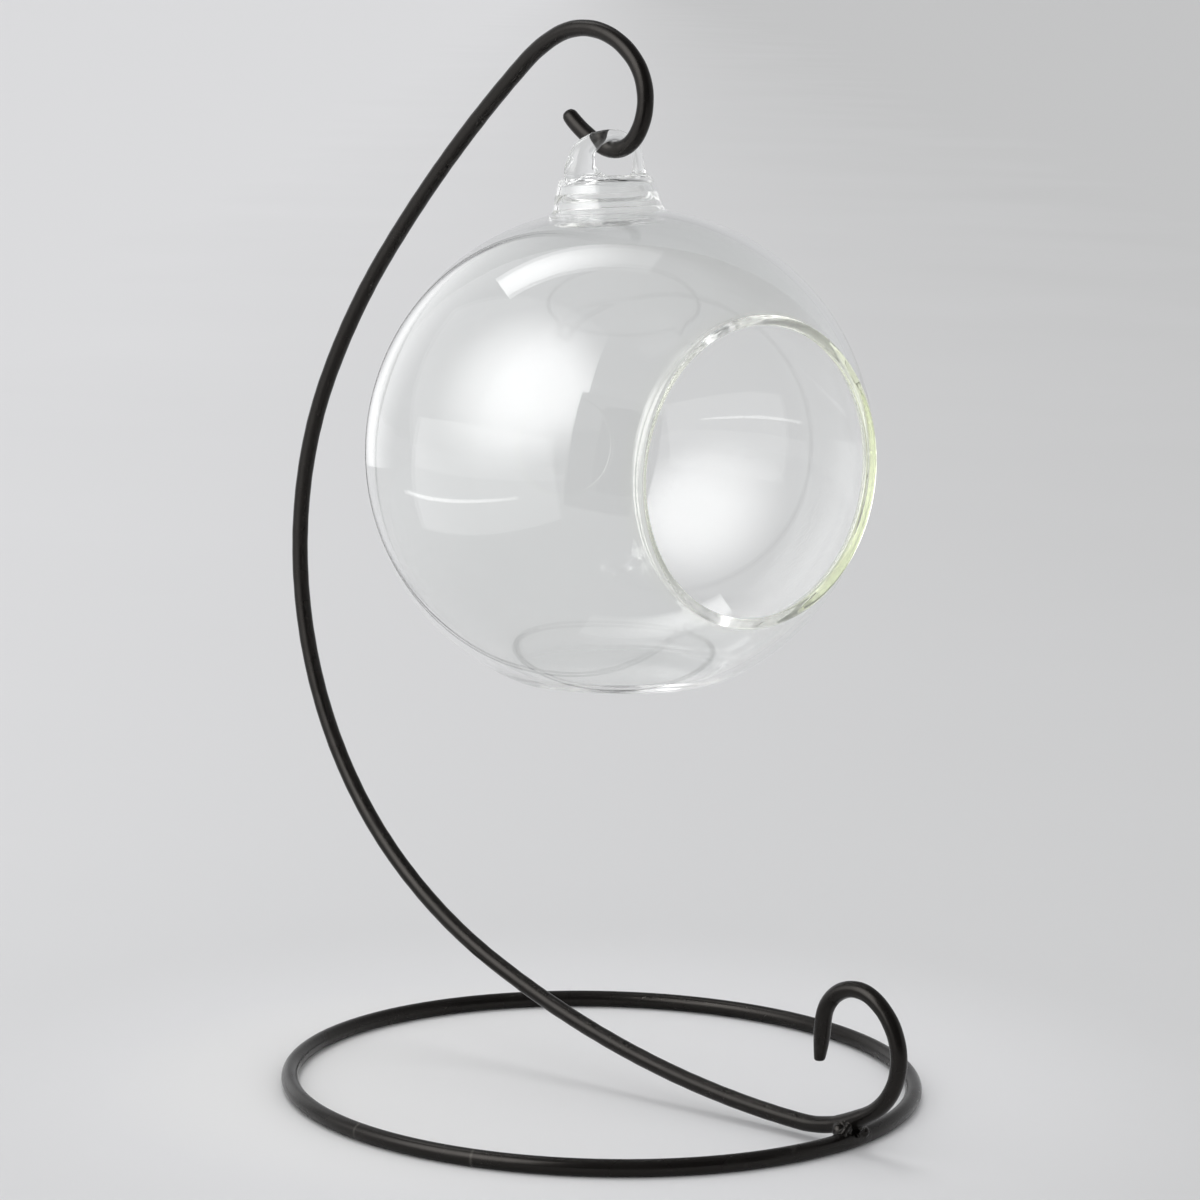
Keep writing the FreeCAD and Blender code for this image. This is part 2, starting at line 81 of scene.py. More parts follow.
def blend(tree, share, first, second):
    """A colour that goes from first to second with the share; a colour mix has its ends at inputs 6 and 7."""
    return add_node(tree, "ShaderNodeMix", {0: share, 6: first, 7: second}, data_type="RGBA").outputs[2]


def new_group(name, inputs, outputs):
    """An empty shader node group with named number and colour sockets, and its two end nodes."""
    group = bpy.data.node_groups.new(name, "ShaderNodeTree")
    for label, kind, value in inputs:
        socket = group.interface.new_socket(name=label, in_out="INPUT", socket_type=kind)
        socket.default_value = value
    for label, kind in outputs:
        group.interface.new_socket(name=label, in_out="OUTPUT", socket_type=kind)
    return group, group.nodes.new("NodeGroupInput"), group.nodes.new("NodeGroupOutput")


def make_satin_paint():
    """Brushed-on satin black: a fine orange peel, slow changes of gloss, and rubs that show as dull grey."""
    group, given, result = new_group(
        "satin_black_paint",
        [("Paint Color", "NodeSocketColor", (0.0048, 0.0042, 0.0039, 1)),
         ("Rub Color", "NodeSocketColor", (0.06, 0.055, 0.05, 1)),
         ("Rub Amount", "NodeSocketFloat", 0.4),
         ("Peel Size", "NodeSocketFloat", 900.0)],
        [("Color", "NodeSocketColor"), ("Roughness", "NodeSocketFloat"), ("Height", "NodeSocketFloat")])
    place = add_node(group, "ShaderNodeTexCoord").outputs["Object"]
    slow = add_node(group, "ShaderNodeTexNoise", {"Vector": place}, Scale=70.0, Detail=4.0).outputs["Fac"]
    peel_size = given.outputs["Peel Size"]
    peel = add_node(group, "ShaderNodeTexNoise", {"Vector": place, "Scale": peel_size}, Detail=3.0)
    scuff = add_node(group, "ShaderNodeTexNoise", {"Vector": place}, Scale=240.0, Detail=6.0, Roughness=0.7)
    rubbed = rescale(group, scuff.outputs["Fac"], 0.6, 0.72)
    spots = reckon(group, "MULTIPLY", rubbed, rescale(group, slow, 0.48, 0.66))
    rub = reckon(group, "MULTIPLY", spots, given.outputs["Rub Amount"])
    tone = blend(group, rub, given.outputs["Paint Color"], given.outputs["Rub Color"])
    dull = reckon(group, "ADD", rub, rescale(group, slow, 0.3, 0.7, 0.2, 0.33))
    group.links.new(tone, result.inputs["Color"])
    group.links.new(dull, result.inputs["Roughness"])
    group.links.new(peel.outputs["Fac"], result.inputs["Height"])
    return group


satin_paint = make_satin_paint()


def new_material(name):
    """A material with its node tree and its Principled shader."""
    material = bpy.data.materials.new(name)
    material.use_nodes = True
    return material, material.node_tree, material.node_tree.nodes["Principled BSDF"]


def painted(name, bump_depth, **settings):
    """A painted steel material that takes its colour, gloss and grain from the satin paint group."""
    material, tree, surface = new_material(name)
    surface.inputs["Specular IOR Level"].default_value = 0.26
    surface.inputs["Specular Tint"].default_value = (1.0, 0.94, 0.88, 1)
    paint = add_node(tree, "ShaderNodeGroup", node_tree=satin_paint, **settings)
    bump = add_node(tree, "ShaderNodeBump", {"Height": paint.outputs["Height"]},
                    Strength=0.25, Distance=bump_depth)
    tree.links.new(paint.outputs["Color"], surface.inputs["Base Color"])
    tree.links.new(paint.outputs["Roughness"], surface.inputs["Roughness"])
    tree.links.new(bump.outputs["Normal"], surface.inputs["Normal"])
    return material


def dress(node_name, material):
    """Gives a CAD solid its material and smooth shading over its facets."""
    node = frame["nodes"][node_name]
    node.data.materials.clear()
    node.data.materials.append(material)
    for polygon in node.data.polygons:
        polygon.use_smooth = True


RUB_ANGLES = (263, 288)
RUB_REACH = 75.5
RUB_HEIGHT = 2.5
BARE_TONE = (0.055, 0.052, 0.047, 1)


def rub_across(material, angle):
    """A narrow bare rub across the ring's rod at that angle, where something was tied to it."""
    tree = material.node_tree
    base_colour = tree.nodes["Principled BSDF"].inputs["Base Color"]
    outward = Vector((math.cos(angle), math.sin(angle), 0))
    middle = outward * RUB_REACH * MM + Vector((0, 0, RUB_HEIGHT * MM))
    place = add_node(tree, "ShaderNodeTexCoord").outputs["Object"]
    away = reckon_vector(tree, "SUBTRACT", place, middle)
    along = reckon_vector(tree, "DOT_PRODUCT", away, (-outward.y, outward.x, 0))
    band = rescale(tree, reckon(tree, "ABSOLUTE", along), 0.1 * MM, 0.5 * MM, 1.0, 0.0)
    near = rescale(tree, reckon_vector(tree, "LENGTH", away), 1.6 * MM, 3.0 * MM, 0.8, 0.0)
    share = reckon(tree, "MULTIPLY", band, near)
    tone = blend(tree, share, base_colour.links[0].from_socket, BARE_TONE)
    tree.links.new(tone, base_colour)


ring_paint = painted("ring_paint", 0.1 * MM, Rub_Amount=0.8, Peel_Size=900.0)
for rub_angle in RUB_ANGLES:
    rub_across(ring_paint, math.radians(rub_angle))
dress("base_ring", ring_paint)

# Hanger arm: the same rod, bent cold from the hook through the long sweep to the curl at its foot. The
# hook's tip is rounded over, and the curl's end is nipped off thinner. The paint has fewer rubs up here.
# Each bend is a radius and a turn in degrees, from the hook's tail to the curl.
ROD_RADIUS = 2.0
ROD_SIDES = 40
TAIL_START = (-9.4372, 225.8068)
TAIL_HEADING = -28.74
ARM_BENDS = [(31.9, 7.5), (8.3, 76.9), (14.1, 76.0), (20.35, 74.5), (40.6, 15.8), (349.0, 10.9),
             (167.7, 12.6), (100.6, 74.5), (123.7, 16.5), (261.6, 21.9), (32.7, 23.8), (52.8, 8.2),
             (15.6, 118.8), (9.3, 113.2), (44.6, 8.0)]
ARM_STEP = 0.55
TIP_REACH = 9.9
TIP_LENGTH = 5.0
TIP_RADIUS = 1.7
END_REACH = 4.1
END_STEPS = 16
NIP_LENGTH = 6.0
NIP_DEPTH = 0.72
NIP_SHIFT = 0.5
END_ROUNDING = 0.45
END_ROUNDING_DEPTH = 0.22
DRAWN_THINNER = 0.035
HAND_WAVE = 0.025


def left_of(heading):
    """The flat direction to the left of a heading in degrees."""
    angle = math.radians(heading)
    return Vector((-math.sin(angle), math.cos(angle)))


def follow_bends(start, heading, bends, step):
    """Points of a flat curve of arcs that turn left, each with its heading, about a step apart."""
    points = [(Vector(start), heading)]
    for radius, turn in bends:
        centre = points[-1][0] + left_of(heading) * radius
        count = max(2, round(math.radians(turn) * radius / step))
        for index in range(1, count + 1):
            ahead = heading + turn * index / count
            points.append((centre - left_of(ahead) * radius, ahead))
        heading = ahead
    return points


def join_rings(sheet, rings, capped=False):
    """Skins the way from each ring of corners to the next, and closes both ends where capped."""
    for near, far in zip(rings, rings[1:]):
        for side in range(len(near)):
            after = (side + 1) % len(near)
            sheet.faces.new([near[side], near[after], far[after], far[side]])
    if capped:
        sheet.faces.new(rings[0][::-1])
        sheet.faces.new(rings[-1])


def sweep_rod(sheet, points, sections):
    """A rod's skin along flat points in the arm's plane, with each point's radius and sideways shift."""
    rings = []
    for (place, heading), (radius, shift) in zip(points, sections):
        left = left_of(heading)
        middle = place + left * shift
        ring = []
        for side in range(ROD_SIDES):
            angle = 2 * math.pi * side / ROD_SIDES
            flat = middle + left * radius * math.cos(angle)
            ring.append(sheet.verts.new(Vector((flat.x, radius * math.sin(angle), flat.y)) * MM))
        rings.append(ring)
    join_rings(sheet, rings, capped=True)


def new_object(name, sheet):
    """Puts a sheet into the scene as an object of that name."""
    mesh = bpy.data.meshes.new(name)
    sheet.to_mesh(mesh)
    sheet.free()
    piece = bpy.data.objects.new(name, mesh)
    bpy.context.scene.collection.objects.link(piece)
    return piece


def finish_mesh(name, sheet, material, body):
    """Turns a sheet into a smooth shaded piece that rides on the body."""
    bmesh.ops.recalc_face_normals(sheet, faces=sheet.faces[:])
    piece = new_object(name, sheet)
    for polygon in piece.data.polygons:
        polygon.use_smooth = True
    piece.data.materials.append(material)
    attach(piece, body)
    return piece


tail_radius = ARM_BENDS[0][0]
tail_turn = math.degrees(TIP_REACH / tail_radius)
tail_centre = Vector(TAIL_START) + left_of(TAIL_HEADING) * tail_radius
tip_heading = TAIL_HEADING - tail_turn
tip_start = tail_centre - left_of(tip_heading) * tail_radius
arm_points = follow_bends(tip_start, tip_heading, [(tail_radius, tail_turn)] + ARM_BENDS, ARM_STEP)
end_place, end_heading = arm_points[-1]
end_way = Vector((math.cos(math.radians(end_heading)), math.sin(math.radians(end_heading))))
for index in range(1, END_STEPS + 1):
    arm_points.append((end_place + end_way * END_REACH * index / END_STEPS, end_heading))
lengths = [0.0]
for (place, heading), (before, _) in zip(arm_points[1:], arm_points):
    lengths.append(lengths[-1] + (place - before).length)
arm_sections = []
for length in lengths:
    left_over = lengths[-1] - length
    radius = ROD_RADIUS - DRAWN_THINNER + HAND_WAVE * math.sin(length * 0.9) * math.sin(length * 0.23)
    shift = 0.0
    if length < TIP_LENGTH:
        round_over = max(0.0, 1 - length / TIP_RADIUS)
        radius = TIP_RADIUS + (radius - TIP_RADIUS) * (length / TIP_LENGTH) ** 0.6
        radius *= math.sqrt(max(0.02, 1 - round_over ** 2.2))
    if left_over < NIP_LENGTH:
        nip = (1 - left_over / NIP_LENGTH) ** 1.3
        radius -= NIP_DEPTH * nip
        shift = -NIP_SHIFT * nip
    if left_over < END_ROUNDING:
        radius -= END_ROUNDING_DEPTH * (1 - left_over / END_ROUNDING) ** 2
    arm_sections.append((radius, shift))
arm_sheet = bmesh.new()
sweep_rod(arm_sheet, arm_points, arm_sections)
arm_paint = painted("arm_paint", 0.12 * MM, Rub_Amount=0.35, Peel_Size=1000.0)
arm_rod = finish_mesh("arm_rod", arm_sheet, arm_paint, "stand")
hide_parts("hanger_arm")

# Weld: the arm's foot and the ring are run together where they cross, with a ridge of metal in front and
# a small pit where the bead stops short, all under the same paint. Lumps are x, y, z and radius.
RING_RADIUS = 74.7
WELD_HALF = 8.5
WELD_STEPS = 40
WELD_NEAR_X = 68.6
WELD_FAR_X = 80.4
LOW_RUN_TOP = 14
FLOOR_GAP = 0.02
WELD_LUMPS = [(73.0, -2.0, 4.3, 1.75), (73.9, -2.5, 3.6, 1.6), (74.7, -1.2, 4.6, 1.3),
              (72.4, -0.8, 3.2, 1.2), (73.4, 2.2, 4.2, 1.8), (75.3, 2.4, 4.4, 1.5),
              (76.0, 3.4, 3.4, 1.3), (72.3, 1.4, 3.4, 1.2), (75.5, -2.1, 5.7, 0.7),
              (75.3, -2.7, 4.9, 0.85), (75.1, -3.3, 4.1, 0.85), (74.7, -4.0, 3.6, 0.8),
              (74.1, -4.5, 3.0, 0.6), (75.8, 1.2, 5.0, 1.4)]
PIT = Vector((77.2, -1.2, 4.4)) * MM
PIT_RADIUS = 1.25 * MM
PIT_HALF_LENGTH = 2.5 * MM
PIT_DEPTH = 1.3
PIT_WAY = Vector((0.55, -0.75, 0.35)).normalized()


def run_radius(share):
    """Radius of the metal that has run over a rod, from the weld's middle (0) to its thin ends (1)."""
    return ROD_RADIUS + 0.1 - 0.3 * share ** 3


weld_sheet = bmesh.new()
weld_run = [(point, heading) for point, heading in arm_points
            if point.y < LOW_RUN_TOP and WELD_NEAR_X < point.x < WELD_FAR_X]
run_end = len(weld_run) - 1
weld_sections = [(run_radius(abs(2 * index / run_end - 1)), 0.0) for index in range(run_end + 1)]
sweep_rod(weld_sheet, weld_run, weld_sections)
ring_rows = []
for index in range(WELD_STEPS + 1):
    share = 2 * index / WELD_STEPS - 1
    around = WELD_HALF * share / RING_RADIUS
    radius = run_radius(abs(share))
    row = []
    for side in range(ROD_SIDES):
        angle = 2 * math.pi * side / ROD_SIDES
        reach = RING_RADIUS + radius * math.cos(angle)
        height = max(ROD_RADIUS + radius * math.sin(angle), FLOOR_GAP)
        place = Vector((reach * math.cos(around), reach * math.sin(around), height))
        row.append(weld_sheet.verts.new(place * MM))
    ring_rows.append(row)
join_rings(weld_sheet, ring_rows, capped=True)
for x, y, z, radius in WELD_LUMPS:
    bmesh.ops.create_uvsphere(weld_sheet, u_segments=24, v_segments=14, radius=radius * MM,
                              matrix=Matrix.Translation(Vector((x, y, z)) * MM))
bmesh.ops.recalc_face_normals(weld_sheet, faces=weld_sheet.faces[:])


def melt_together(sheet, voxel, smoothing):
    """One closed skin over the overlapping forms of a sheet, with its corners flowed together."""
    holder = new_object("melting", sheet)
    melt = holder.modifiers.new("melt", "REMESH")
    melt.mode = "VOXEL"
    melt.voxel_size = voxel
    settle = holder.modifiers.new("settle", "SMOOTH")
    settle.factor = 0.5
    settle.iterations = smoothing
    bpy.context.view_layer.update()
    melted = bpy.data.meshes.new_from_object(holder.evaluated_get(bpy.context.evaluated_depsgraph_get()))
    bpy.data.objects.remove(holder)
    skin = bmesh.new()
    skin.from_mesh(melted)
    return skin


weld_skin = melt_together(weld_sheet, 0.17 * MM, 9)
for corner in weld_skin.verts:
    from_pit = corner.co - PIT
    along = from_pit.dot(PIT_WAY)
    away = (from_pit - PIT_WAY * along).length / PIT_RADIUS
    if away < 1 and abs(along) < PIT_HALF_LENGTH:
        corner.co -= PIT_WAY * PIT_DEPTH * MM * (1 - away * away) ** 2
    corner.co.z = max(corner.co.z, FLOOR_GAP * MM)
weld_paint = painted("weld_paint", 0.5 * MM, Rub_Amount=0.5, Peel_Size=420.0)
weld = finish_mesh("weld", weld_skin, weld_paint, "stand")
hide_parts("weld_bead_front", "weld_bead_back")

# Spatter: a few beads of metal thrown on the rods beside the weld, flattened as they struck, stuck fast
# and painted over. Each is given as x, y, z and radius.
SPATTER = [(75.4, -1.9, 6.5, 0.24), (75.1, -2.5, 5.8, 0.28), (74.7, -3.0, 5.1, 0.26), (74.5, -3.7, 4.6, 0.3),
           (74.2, -4.3, 4.2, 0.26), (73.6, -4.9, 3.7, 0.22), (71.2, -2.0, 4.4, 0.2), (74.6, -5.0, 3.85, 0.26),
           (66.1, -1.5, 5.2, 0.22), (50.0, -1.3, 5.1, 0.2)]
FLATTENED = Matrix.Diagonal((1.2, 0.9, 0.8, 1))
spatter_sheet = bmesh.new()
for x, y, z, radius in SPATTER:
    bmesh.ops.create_icosphere(spatter_sheet, subdivisions=3, radius=radius * MM,
                               matrix=Matrix.Translation(Vector((x, y, z)) * MM) @ FLATTENED)
spatter_paint = painted("spatter_paint", 0.05 * MM, Rub_Amount=0.9, Peel_Size=1500.0)
spatter = finish_mesh("spatter", spatter_sheet, spatter_paint, "stand")

# Glass globe with its eye: one piece of clear glass, blown to a globe with a flat foot and a short neck,
# the mouth cut and fire-polished to a round rim, and a strand drawn over from the neck for the eye.
GLOBE_TWIST = math.radians(10.7)
NECK_LEAN = math.radians(5.9)
BODY_SET = math.radians(4.5)
SET_FROM = math.radians(16)
SET_REACH = math.radians(34)
EYE_SHIFT = 2.8
EYE_TURN = math.radians(14.3)
EYE_INNER_HEIGHT = 8.1
SIDE_RADIUS = 57.5
SIDE_OFFSET = 2.1
SIDE_STEPS = 96
WALL = 1.9
FOOT_DEPTH = 53.0
FOOT_THICKNESS = 3.0
FOOT_ROUNDING = 6.0
INNER_FOOT_ROUNDING = 9.0
FOOT_STEPS = 10
NECK_BASE = (12.8, 56.4959)
NECK_TOP_RADIUS = 10.2
NECK_CUT = 60.6
NECK_WALL = 1.0
ROOT_ROUNDING = 2.0
INNER_ROOT_ROUNDING = 3.0
ROOT_STEPS = 20
CEILING_ROUNDING = 1.8
CEILING_STEPS = 6
CEILING_CORNER_STEPS = 24
SHOULDER_HEIGHT = 64.5959
SHOULDER_ROUNDING = 1.2
SHOULDER_CENTRE = (NECK_TOP_RADIUS - 0.95, SHOULDER_HEIGHT - SHOULDER_ROUNDING)
ROUND_STEPS = 288

hook = next(mount for mount in frame["record"]["mounts"] if mount["name"] == "hook")
neck_frame = (Matrix.Translation(Vector(hook["pos_m"])) @ Matrix.Rotation(-GLOBE_TWIST, 4, "Z")
              @ Matrix.Rotation(-NECK_LEAN, 4, "Y"))
globe_frame = (neck_frame @ Matrix.Scale(MM, 4)
               @ Matrix.Translation((-EYE_SHIFT, 0, -SHOULDER_HEIGHT - EYE_INNER_HEIGHT)))
body_frame = globe_frame @ Matrix.Rotation(BODY_SET, 4, "Y")
eye_frame = (neck_frame @ Matrix.Rotation(-EYE_TURN, 4, "Z") @ Matrix.Scale(MM, 4)
             @ Matrix.Translation((0, 0, -EYE_INNER_HEIGHT)))
to_globe = globe_frame.inverted()
to_body = body_frame.inverted()
to_eye = eye_frame.inverted()
mouth_way = (body_frame.to_3x3() @ Vector((1, 0, 0))).normalized()
neck_way = (globe_frame.to_3x3() @ Vector((0, 0, 1))).normalized()
cone_lean = math.atan2(NECK_BASE[0] - NECK_TOP_RADIUS, SHOULDER_HEIGHT - NECK_BASE[1])


def ease(value):
    """A smooth rise from 0 to 1 while the value runs from 0 to 1, level outside."""
    share = min(max(value, 0), 1)
    return share * share * (3 - 2 * share)


def arc(centre, radius, first, last, steps):
    """Points on an arc from one angle to another, in degrees, both ends included."""
    points = []
    for step in range(steps + 1):
        angle = math.radians(first + (last - first) * step / steps)
        points.append((centre[0] + radius * math.cos(angle), centre[1] + radius * math.sin(angle)))
    return points


def side_profile(radius, foot_z, foot_round, cone_base, root_round, ceiling=None):
    """Half section from the neck's cone over its root and the side down to the foot's middle.

    It starts on the cone at the neck's cut, or at the middle of the neck's ceiling where that is given
    as its height and the rounding of its corner."""
    cone_r, cone_z = cone_base
    lean_angle = math.degrees(cone_lean)
    if ceiling:
        top_z, top_round = ceiling
        corner_r = cone_r - (top_z - cone_z) * math.tan(cone_lean)
        middle_r = corner_r - math.tan(math.radians(90 - lean_angle) / 2) * top_round
        points = [(middle_r * step / CEILING_STEPS, top_z) for step in range(CEILING_STEPS + 1)]
        points += arc((middle_r, top_z - top_round), top_round, 90, lean_angle, CEILING_CORNER_STEPS)[1:]
    else:
        points = [(cone_r - (NECK_CUT - cone_z) * math.tan(cone_lean), NECK_CUT)]
    along = Vector((-math.sin(cone_lean), math.cos(cone_lean)))
    outward = Vector((math.cos(cone_lean), math.sin(cone_lean)))
    start = Vector((cone_r - SIDE_OFFSET, cone_z)) + outward * root_round
    half = start.dot(along)
    root_reach = -half + math.sqrt(half * half - start.length_squared + (radius + root_round) ** 2)
    root = start + along * root_reach
    touch = math.degrees(math.atan2(root.y, root.x))
    points += arc((root.x + SIDE_OFFSET, root.y), root_round, 180 + lean_angle, 180 + touch, ROOT_STEPS)
    foot_centre_z = foot_z + foot_round
    foot_reach = math.sqrt((radius - foot_round) ** 2 - foot_centre_z ** 2)
    foot_touch = math.degrees(math.atan2(foot_centre_z, foot_reach))
    flat = SIDE_OFFSET + foot_reach
    points += arc((SIDE_OFFSET, 0), radius, touch, foot_touch, SIDE_STEPS)[1:]
    points += arc((flat, foot_centre_z), foot_round, foot_touch, -90, FOOT_STEPS)[1:]
    points += [(flat * (1 - step / FOOT_STEPS), foot_z) for step in range(1, FOOT_STEPS + 1)]
    return points


def turned_ring(sheet, to_place, radius, height, steps):
    """A ring of corners round a frame's upright line, or one corner where the radius is nothing."""
    ring = []
    for step in range(steps if radius > 1e-6 else 1):
        angle = 2 * math.pi * step / steps
        place = Vector((radius * math.cos(angle), radius * math.sin(angle), height))
        ring.append(sheet.verts.new(to_place @ place))
    return ring


def spin(profile, inward):
    """The sheet that a half section sweeps, turning over from the neck's line to the body's on its way."""
    sheet = bmesh.new()
    rows = []
    for radius, height in profile:
        turn = BODY_SET * ease((math.atan2(radius, height) - SET_FROM) / SET_REACH)
        to_place = globe_frame @ Matrix.Rotation(turn, 4, "Y")
        rows.append(turned_ring(sheet, to_place, radius, height, ROUND_STEPS))
    for upper, lower in zip(rows, rows[1:]):
        for step in range(ROUND_STEPS):
            after = (step + 1) % ROUND_STEPS
            if len(upper) == 1:
                corners = [upper[0], lower[step], lower[after]]
            elif len(lower) == 1:
                corners = [upper[step], lower[0], upper[after]]
            else:
                corners = [upper[step], lower[step], lower[after], upper[after]]
            sheet.faces.new(corners[::-1] if inward else corners)
    return sheet


outer = spin(side_profile(SIDE_RADIUS, -FOOT_DEPTH, FOOT_ROUNDING, NECK_BASE, ROOT_ROUNDING), False)
inner_base = (NECK_BASE[0] - NECK_WALL, NECK_BASE[1])
inner_ceiling = (SHOULDER_HEIGHT - NECK_WALL, CEILING_ROUNDING)
inner = spin(side_profile(SIDE_RADIUS - WALL, FOOT_THICKNESS - FOOT_DEPTH, INNER_FOOT_ROUNDING,
                          inner_base, INNER_ROOT_ROUNDING, inner_ceiling), True)


def open_edge(sheet, origin, way, within):
    """Corners of the sheet's open edge that lies in the plane through the origin, square to the way."""
    corners = dict.fromkeys(corner for edge in sheet.edges if edge.is_boundary for corner in edge.verts)
    return [corner for corner in corners if abs((corner.co - origin).dot(way)) < within]


def round_order(corners, to_own, first, second):
    """The corners in order round a line, with their angles on two axes of their own frame."""

    def clock(corner):
        place = to_own @ corner.co
        return math.atan2(place[second], place[first])

    ordered = sorted(corners, key=clock)
    return ordered, [clock(corner) for corner in ordered]


def cut_sheet(sheet, depth):
    """Cuts the sheet square to the mouth's line at that depth, and gives the cut's corners in order."""
    origin = body_frame @ Vector((depth, 0, 0))
    everything = sheet.verts[:] + sheet.edges[:] + sheet.faces[:]
    bmesh.ops.bisect_plane(sheet, geom=everything, plane_co=origin, plane_no=mouth_way,
                           dist=1e-7, clear_outer=True)
    corners = open_edge(sheet, origin, mouth_way, 1e-6)
    bmesh.ops.remove_doubles(sheet, verts=corners, dist=0.12 * MM)
    return round_order([corner for corner in corners if corner.is_valid], to_body, 1, 2)


# Rim sections, as depth on the mouth's line, radius, and share of the uneven cut edge that is still in them:
# away from the outer sheet, over the melted bead, and down to the inner sheet
OUTER_CUT = 47.5
OUTER_CUT_RADIUS = 36.0
INNER_CUT = 45.6
INNER_CUT_RADIUS = 35.35
RIM_MIDDLE = (49.6, 34.3)
RIM_RADIUS = 1.25
outer_lip = [(48.05, 35.4, 0.9), (48.55, 35.12, 0.5), (48.8, 35.28, 0.2)]
rim_bead = [(depth, radius, 0.0) for depth, radius in arc(RIM_MIDDLE, RIM_RADIUS, 118, -100, 16)]
inner_lip = [(48.6, 33.28, 0.0), (48.0, 33.55, 0.0), (47.3, 33.85, 0.2), (46.7, 34.2, 0.45),
             (46.15, 34.65, 0.8)]

outer_edge, outer_clock = cut_sheet(outer, OUTER_CUT)
inner_edge, inner_clock = cut_sheet(inner, INNER_CUT)


def mouth_reach(corner):
    """How far a corner lies from the mouth's line."""
    place = to_body @ corner.co
    return math.hypot(place.y, place.z)


inner_reach = [mouth_reach(corner) for corner in inner_edge]


def inner_reach_at(angle):
    """Radius of the inner sheet's cut edge at that angle."""

    def gap(index):
        return abs(math.remainder(inner_clock[index] - angle, 2 * math.pi))

    return inner_reach[min(range(len(inner_clock)), key=gap)]


glass = outer
outer_uneven = [mouth_reach(corner) - OUTER_CUT_RADIUS for corner in outer_edge]
inner_uneven = [inner_reach_at(angle) - INNER_CUT_RADIUS for angle in outer_clock]
rim_rows = [outer_edge]
for sections, uneven in ((outer_lip + rim_bead, outer_uneven), (inner_lip, inner_uneven)):
    for depth, radius, hold in sections:
        row = []
        for angle, shift in zip(outer_clock, uneven):
            reach = radius + shift * hold
            place = Vector((depth, reach * math.cos(angle), reach * math.sin(angle)))
            row.append(glass.verts.new(body_frame @ place))
        rim_rows.append(row)
join_rings(glass, rim_rows)


def angle_ahead(clock, index):
    """Angle of the corner after that index, a full turn on where the count has gone past the last one."""
    if index + 1 < len(clock):
        return clock[index + 1]
    return clock[(index + 1) % len(clock)] + 2 * math.pi


def zip_edges(target, first, first_clock, second, second_clock):
    """Joins two closed edges, each sorted by angle, with a strip of triangles."""
    i = j = 0
    while i < len(first) or j < len(second):
        here, there = first[i % len(first)], second[j % len(second)]
        first_is_next = angle_ahead(first_clock, i) <= angle_ahead(second_clock, j)
        if j >= len(second) or (i < len(first) and first_is_next):
            i += 1
            target.faces.new([here, first[i % len(first)], there])
        else:
            j += 1
            target.faces.new([here, second[j % len(second)], there])


def take_in(target, source):
    """Copies a sheet into the glass and gives, for each of its corners, the corner that stands for it."""
    copies = {corner: target.verts.new(corner.co) for corner in source.verts}
    for face in source.faces:
        target.faces.new([copies[corner] for corner in face.verts])
    return copies


copies = take_in(glass, inner)
zip_edges(glass, rim_rows[-1], outer_clock, [copies[corner] for corner in inner_edge], inner_clock)

# The eye's strand and the lumps where it was pressed on, in the plane across the hook: reach, height over
# the shoulder, and thickness
NEAR_LEG = [(-7.4, -4.0, 2.8), (-7.9, -2.0, 3.0), (-8.4, 0.2, 3.2), (-8.1, 2.2, 3.1), (-7.5, 4.0, 2.8)]
FAR_LEG = [(6.0, 3.4, 1.4), (6.0, 1.5, 1.5), (6.0, -0.3, 1.9), (6.0, -2.0, 2.0)]
LEG_FOOT = [(-6.9, 1.9, 2.0), (-6.0, 0.7, 2.0), (-4.9, -0.2, 1.9), (-3.6, -0.9, 1.7), (-2.2, -1.3, 1.5),
            (5.2, 0.1, 1.3), (6.9, -0.1, 1.3)]
LOOP_STEPS = 12
LOOP_MIDDLE = 3.6
LOOP_HEIGHT = 6.0
LOOP_NEAR_REACH = 7.8
LOOP_FAR_REACH = 6.0
LOOP_THICKNESS = 1.35
LOOP_SWELL = 1.3
strand = NEAR_LEG[:]
for step in range(1, LOOP_STEPS):
    angle = math.pi * (1 - step / LOOP_STEPS)
    reach = LOOP_NEAR_REACH if angle > math.pi / 2 else LOOP_FAR_REACH
    thickness = LOOP_THICKNESS + LOOP_SWELL * max(0.0, -math.cos(angle)) ** 1.5
    strand.append((reach * math.cos(angle), LOOP_MIDDLE + LOOP_HEIGHT * math.sin(angle), thickness))
strand += FAR_LEG
curve = bpy.data.curves.new("eye_strand", "CURVE")
curve.dimensions = "3D"
curve.bevel_depth = 1.0
curve.bevel_resolution = 10
curve.use_fill_caps = True
spline = curve.splines.new("NURBS")
spline.points.add(len(strand) - 1)
for point, (side, height, thickness) in zip(spline.points, strand):
    point.co = (*(eye_frame @ Vector((0, side, height))), 1)
    point.radius = thickness * MM
spline.order_u = 3
spline.use_endpoint_u = True
spline.resolution_u = 8
strand_object = bpy.data.objects.new("eye_strand", curve)
strand_mesh = bpy.data.meshes.new_from_object(strand_object)
bpy.data.objects.remove(strand_object)

